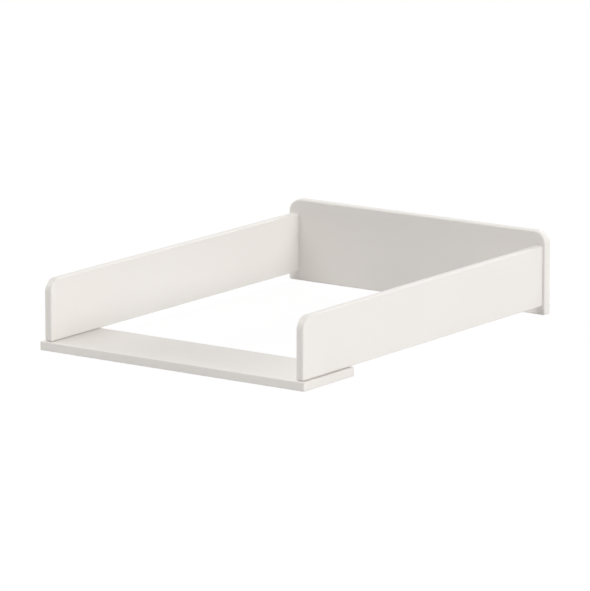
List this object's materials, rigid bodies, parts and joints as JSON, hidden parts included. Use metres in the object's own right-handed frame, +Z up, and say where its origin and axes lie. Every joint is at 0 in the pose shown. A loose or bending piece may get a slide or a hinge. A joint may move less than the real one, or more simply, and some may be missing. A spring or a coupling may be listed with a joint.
{
  "type": "changing table topper",
  "caption": "Open frame of painted boards for the top of a chest of drawers: side panels and a taller back on a flat front base rail keep a changing mat in place.",
  "frame": {"origin": "on the surface that the topper rests on, at the middle of its overall width and depth", "axes": "+X to the right seen from the open front, +Y from the front base rail to the back panel, +Z up"},
  "size_m": [0.576, 0.787, 0.156],
  "materials": {
    "painted_board": "warm white satin paint on fine fibreboard",
    "screw_steel": "zinc plated",
    "dowel_beech": "raw beech",
    "cap_plastic": "white moulded plastic"
  },
  "bodies": {
    "root": {"back_panel": "painted_board", "front_base_rail": "painted_board", "left_side_panel": "painted_board", "right_side_panel": "painted_board", "back_screw_left_lower": "screw_steel", "screw_cap_left_lower": "cap_plastic", "back_dowel_left_lower": "dowel_beech", "back_screw_left_upper": "screw_steel", "screw_cap_left_upper": "cap_plastic", "back_dowel_left_upper": "dowel_beech", "rail_screw_left_front": "screw_steel", "rail_dowel_left_front": "dowel_beech", "rail_screw_left_rear": "screw_steel", "rail_dowel_left_rear": "dowel_beech", "back_screw_right_lower": "screw_steel", "screw_cap_right_lower": "cap_plastic", "back_dowel_right_lower": "dowel_beech", "back_screw_right_upper": "screw_steel", "screw_cap_right_upper": "cap_plastic", "back_dowel_right_upper": "dowel_beech", "rail_screw_right_front": "screw_steel", "rail_dowel_right_front": "dowel_beech", "rail_screw_right_rear": "screw_steel", "rail_dowel_right_rear": "dowel_beech"}
  },
  "joints": []
}
